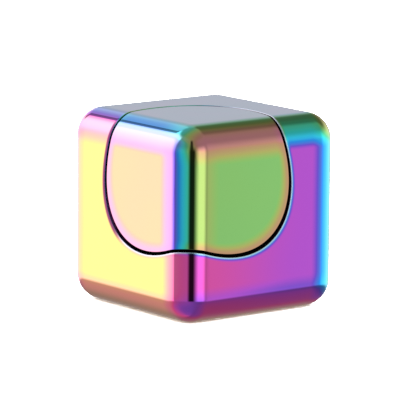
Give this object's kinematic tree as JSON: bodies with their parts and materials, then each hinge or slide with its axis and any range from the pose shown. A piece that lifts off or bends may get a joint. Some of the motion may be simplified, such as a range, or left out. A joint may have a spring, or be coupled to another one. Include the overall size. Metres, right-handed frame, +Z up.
{
  "type": "fidget cube",
  "caption": "Rounded metal desk cube whose two opposite corner caps are joined by an axle and spin together on a ball bearing along the body diagonal.",
  "frame": {"origin": "centre of the cube's bottom face, on the surface it stands on", "axes": "+Z up; the spin axis runs through the cube's centre along +X -Y +Z, from the capped bottom corner at -X +Y to the capped top corner at +X -Y"},
  "size_m": [0.03, 0.03, 0.03],
  "materials": {
    "body_rainbow_plating": "mirror-polished zinc alloy with an iridescent vapour-deposited coating, yellow and pink to purple and blue",
    "cap_rainbow_plating": "mirror-polished zinc alloy with an iridescent vapour-deposited coating, cream to olive green, blue and violet",
    "bearing_steel": "ground and polished bearing steel",
    "pressed_steel": "pressed and barrel-finished sheet steel",
    "spring_steel": "blued spring steel wire",
    "axle_steel": "ground steel with straight knurling"
  },
  "bodies": {
    "cube": {"cube_body": "body_rainbow_plating", "bearing_outer_race": "bearing_steel", "upper_bearing_shield": "pressed_steel", "lower_bearing_shield": "pressed_steel", "upper_snap_ring": "spring_steel", "lower_snap_ring": "spring_steel"},
    "rotor": {"upper_corner_cap": "cap_rainbow_plating", "lower_corner_cap": "cap_rainbow_plating", "axle_pin": "axle_steel", "upper_spacer_washer": "axle_steel", "lower_spacer_washer": "axle_steel", "bearing_inner_race": "bearing_steel"},
    "cage": {"upper_cage_half": "pressed_steel", "lower_cage_half": "pressed_steel", "cage_rivets": "pressed_steel"},
    "ball_1": {"bearing_ball_1": "bearing_steel"},
    "ball_2": {"bearing_ball_2": "bearing_steel"},
    "ball_3": {"bearing_ball_3": "bearing_steel"},
    "ball_4": {"bearing_ball_4": "bearing_steel"},
    "ball_5": {"bearing_ball_5": "bearing_steel"},
    "ball_6": {"bearing_ball_6": "bearing_steel"},
    "ball_7": {"bearing_ball_7": "bearing_steel"}
  },
  "joints": [
    {"name": "rotor_spin", "type": "hinge", "parent": "cube", "child": "rotor", "pos_m": [0, 0, 0.015], "axis": [0.5774, -0.5774, 0.5774], "continuous": true},
    {"name": "cage_roll", "type": "hinge", "parent": "cube", "child": "cage", "pos_m": [0, 0, 0.015], "axis": [0.5774, -0.5774, 0.5774], "continuous": true},
    {"name": "ball_1_roll", "type": "hinge", "parent": "cage", "child": "ball_1", "pos_m": [0.00306, -0.00306, 0.00888], "axis": [0.5774, -0.5774, 0.5774], "continuous": true},
    {"name": "ball_2_roll", "type": "hinge", "parent": "cage", "child": "ball_2", "pos_m": [0.00606, 0.00224, 0.01118], "axis": [0.5774, -0.5774, 0.5774], "continuous": true},
    {"name": "ball_3_roll", "type": "hinge", "parent": "cage", "child": "ball_3", "pos_m": [0.00449, 0.00585, 0.01636], "axis": [0.5774, -0.5774, 0.5774], "continuous": true},
    {"name": "ball_4_roll", "type": "hinge", "parent": "cage", "child": "ball_4", "pos_m": [-0.00046, 0.00506, 0.02052], "axis": [0.5774, -0.5774, 0.5774], "continuous": true},
    {"name": "ball_5_roll", "type": "hinge", "parent": "cage", "child": "ball_5", "pos_m": [-0.00506, 0.00046, 0.02052], "axis": [0.5774, -0.5774, 0.5774], "continuous": true},
    {"name": "ball_6_roll", "type": "hinge", "parent": "cage", "child": "ball_6", "pos_m": [-0.00585, -0.00449, 0.01636], "axis": [0.5774, -0.5774, 0.5774], "continuous": true},
    {"name": "ball_7_roll", "type": "hinge", "parent": "cage", "child": "ball_7", "pos_m": [-0.00224, -0.00606, 0.01118], "axis": [0.5774, -0.5774, 0.5774], "continuous": true}
  ],
  "couplings": [
    {"joint": "cage_roll", "follows": "rotor_spin", "ratio": 0.3677},
    {"joint": "ball_1_roll", "follows": "rotor_spin", "ratio": -1.7573},
    {"joint": "ball_2_roll", "follows": "rotor_spin", "ratio": -1.7573},
    {"joint": "ball_3_roll", "follows": "rotor_spin", "ratio": -1.7573},
    {"joint": "ball_4_roll", "follows": "rotor_spin", "ratio": -1.7573},
    {"joint": "ball_5_roll", "follows": "rotor_spin", "ratio": -1.7573},
    {"joint": "ball_6_roll", "follows": "rotor_spin", "ratio": -1.7573},
    {"joint": "ball_7_roll", "follows": "rotor_spin", "ratio": -1.7573}
  ]
}
